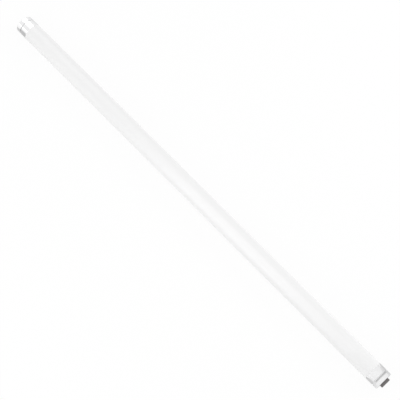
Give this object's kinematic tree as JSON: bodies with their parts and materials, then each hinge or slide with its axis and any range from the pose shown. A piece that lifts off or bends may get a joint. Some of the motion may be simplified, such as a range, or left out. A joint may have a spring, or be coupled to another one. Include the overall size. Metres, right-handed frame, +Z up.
{
  "type": "led tube",
  "caption": "Straight frosted LED tube lamp with metal end caps that swivel and oblong recessed-contact bosses for push-in lampholders.",
  "frame": {"origin": "middle of the tube's axis, half-way between the two boss tips", "axes": "+X along the tube to the near end, +Z up, the way the light leaves, with the heavy rail below"},
  "size_m": [0.854, 0.0318, 0.0318],
  "materials": {
    "frosted_cover": "satin",
    "cap_metal": "polished",
    "boss_plastic": "moulded",
    "contact_metal": "plain",
    "screw_steel": "plain",
    "rail_metal": "extruded",
    "light_board": "white mask",
    "light_package": "plain",
    "insulator_film": "film",
    "driver_board": "plain",
    "resistor_body": "plain",
    "varistor_coat": "plain",
    "film_case": "plain",
    "ferrite": "plain",
    "black_mould": "plain",
    "can_sleeve": "plain",
    "winding_tape": "plain",
    "lead_black": "plain",
    "lead_white": "plain",
    "lead_red": "plain"
  },
  "bodies": {
    "tube": {"diffuser_tube": "frosted_cover", "heat_sink_rail": "rail_metal", "led_board": "light_board", "led_packages": "light_package", "driver_insulator": "insulator_film", "driver_board": "driver_board", "fuse_resistor": "resistor_body", "surge_varistor": "varistor_coat", "film_capacitor": "film_case", "filter_choke": "ferrite", "bridge_rectifier": "black_mould", "bulk_capacitors": "can_sleeve", "controller_chip": "black_mould", "flyback_transformer": "winding_tape", "output_diode": "black_mould", "output_capacitor": "can_sleeve", "near_lead": "lead_black", "far_lead": "lead_white", "led_lead_positive": "lead_red", "led_lead_negative": "lead_black", "near_collar": "cap_metal", "far_collar": "cap_metal", "near_collar_screws": "screw_steel", "far_collar_screws": "screw_steel"},
    "near_swivel": {"near_swivel_ring": "cap_metal", "near_contact_boss": "boss_plastic", "near_contact_left": "contact_metal", "near_contact_right": "contact_metal", "near_contact_strap": "contact_metal"},
    "far_swivel": {"far_swivel_ring": "cap_metal", "far_contact_boss": "boss_plastic", "far_contact_left": "contact_metal", "far_contact_right": "contact_metal", "far_contact_strap": "contact_metal"}
  },
  "joints": [
    {"name": "near_swivel_turn", "type": "hinge", "parent": "tube", "child": "near_swivel", "pos_m": [0.414, 0, 0], "axis": [1, 0, 0], "range_deg": [-90, 90]},
    {"name": "far_swivel_turn", "type": "hinge", "parent": "tube", "child": "far_swivel", "pos_m": [-0.414, 0, 0], "axis": [1, 0, 0], "range_deg": [-90, 90]}
  ]
}
